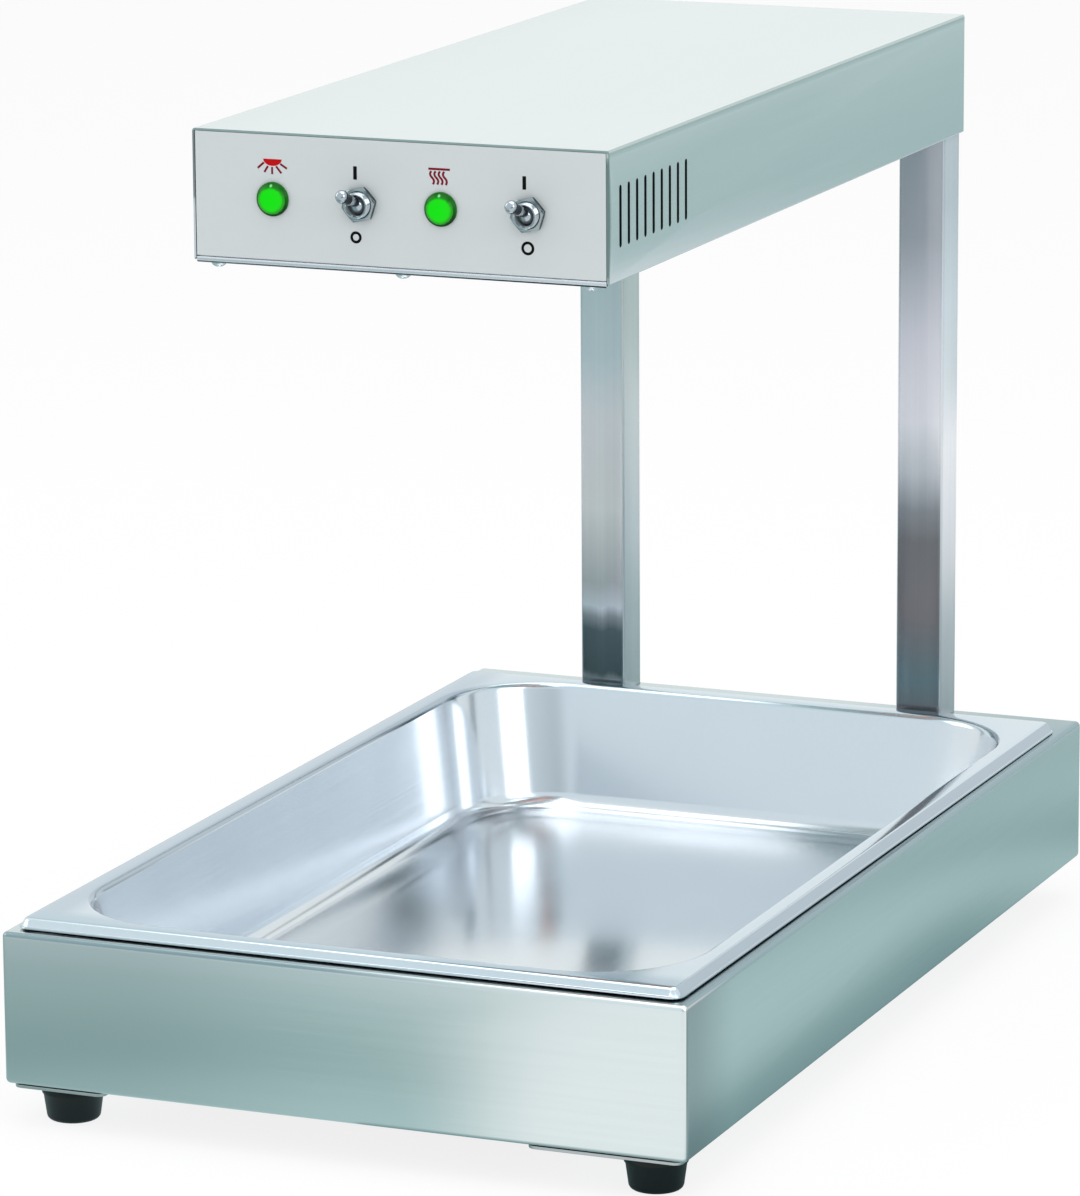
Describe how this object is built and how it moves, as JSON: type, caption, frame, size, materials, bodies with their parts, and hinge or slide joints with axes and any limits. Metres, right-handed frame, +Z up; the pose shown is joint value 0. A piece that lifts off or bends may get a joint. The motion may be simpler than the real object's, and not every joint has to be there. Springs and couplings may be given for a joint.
{
  "type": "infrared food warmer",
  "caption": "Free-standing infrared food warmer: a shallow sheet-steel base holds a lift-out food pan, and square posts at its rear carry a long heated hood over it.",
  "frame": {"origin": "middle of the whole object's width and length, on the surface that the feet stand on", "axes": "+Z up, +Y from the control panel towards the posts, +X to the right seen from the front"},
  "size_m": [0.335, 0.5814, 0.4541],
  "materials": {
    "brushed_steel_sheet": "fine brushed, satin",
    "satin_steel_tube": "satin, grain along the tube",
    "polished_steel": "bright polished",
    "panel_grey": "smooth light grey, satin",
    "zinc_steel": "plain zinc plated",
    "chrome": "mirror bright",
    "black_rubber": "matt moulded",
    "green_lens": "clear coloured, glossy",
    "dark_plastic": "moulded, fine texture",
    "ceramic": "unglazed, matt",
    "quartz": "milky quartz, glossy",
    "brass": "plain turned",
    "brown_cover": "smooth wire cover",
    "black_cover": "smooth wire cover",
    "blue_cover": "smooth wire cover"
  },
  "bodies": {
    "chassis": {"base_shell": "brushed_steel_sheet", "foot_rail_left": "zinc_steel", "foot_rail_right": "zinc_steel", "foot_front_left": "black_rubber", "foot_front_right": "black_rubber", "foot_rear_left": "black_rubber", "foot_rear_right": "black_rubber", "foot_screw_front_left": "zinc_steel", "foot_screw_front_right": "zinc_steel", "foot_screw_rear_left": "zinc_steel", "foot_screw_rear_right": "zinc_steel", "post_left": "satin_steel_tube", "post_right": "satin_steel_tube", "post_foot_bridge": "zinc_steel", "post_head_bridge": "zinc_steel", "hood_shell": "brushed_steel_sheet", "hood_front_panel": "panel_grey", "hood_rear_panel": "brushed_steel_sheet", "hood_cover_plate": "brushed_steel_sheet", "cover_screw_1": "chrome", "cover_screw_2": "chrome", "cover_screw_3": "chrome", "cover_screw_4": "chrome", "cover_screw_5": "chrome", "reflector": "polished_steel", "reflector_end_front": "polished_steel", "reflector_end_rear": "polished_steel", "infrared_tube_left": "quartz", "infrared_tube_right": "quartz", "heater_cap_left_front": "ceramic", "heater_cap_left_rear": "ceramic", "heater_cap_right_front": "ceramic", "heater_cap_right_rear": "ceramic", "lamp_tube": "quartz", "lamp_holder_front": "ceramic", "lamp_holder_rear": "ceramic", "wire_guard": "chrome", "heat_shield": "zinc_steel", "toggle_case_light": "dark_plastic", "toggle_bushing_light": "chrome", "toggle_nut_light": "chrome", "pilot_lens_light": "green_lens", "pilot_body_light": "dark_plastic", "toggle_case_heat": "dark_plastic", "toggle_bushing_heat": "chrome", "toggle_nut_heat": "chrome", "pilot_lens_heat": "green_lens", "pilot_body_heat": "dark_plastic", "gland_body": "dark_plastic", "gland_nut": "dark_plastic", "gland_locknut": "dark_plastic", "terminal_block": "ceramic", "earth_stud": "brass", "supply_wire_light": "brown_cover", "supply_wire_heat": "black_cover", "neutral_wire": "blue_cover"},
    "food_pan": {"food_pan": "polished_steel"},
    "light_lever": {"toggle_lever_light": "chrome"},
    "heat_lever": {"toggle_lever_heat": "chrome"}
  },
  "joints": [
    {"name": "pan_lift", "type": "slide", "parent": "chassis", "child": "food_pan", "axis": [0, 0, 1], "range_m": [0, 0.12]},
    {"name": "light_switch", "type": "hinge", "parent": "chassis", "child": "light_lever", "pos_m": [-0.0185, -0.21415, 0.4238], "axis": [1, 0, 0], "range_deg": [0, 40]},
    {"name": "heat_switch", "type": "hinge", "parent": "chassis", "child": "heat_lever", "pos_m": [0.063, -0.21415, 0.4238], "axis": [1, 0, 0], "range_deg": [0, 40]}
  ]
}
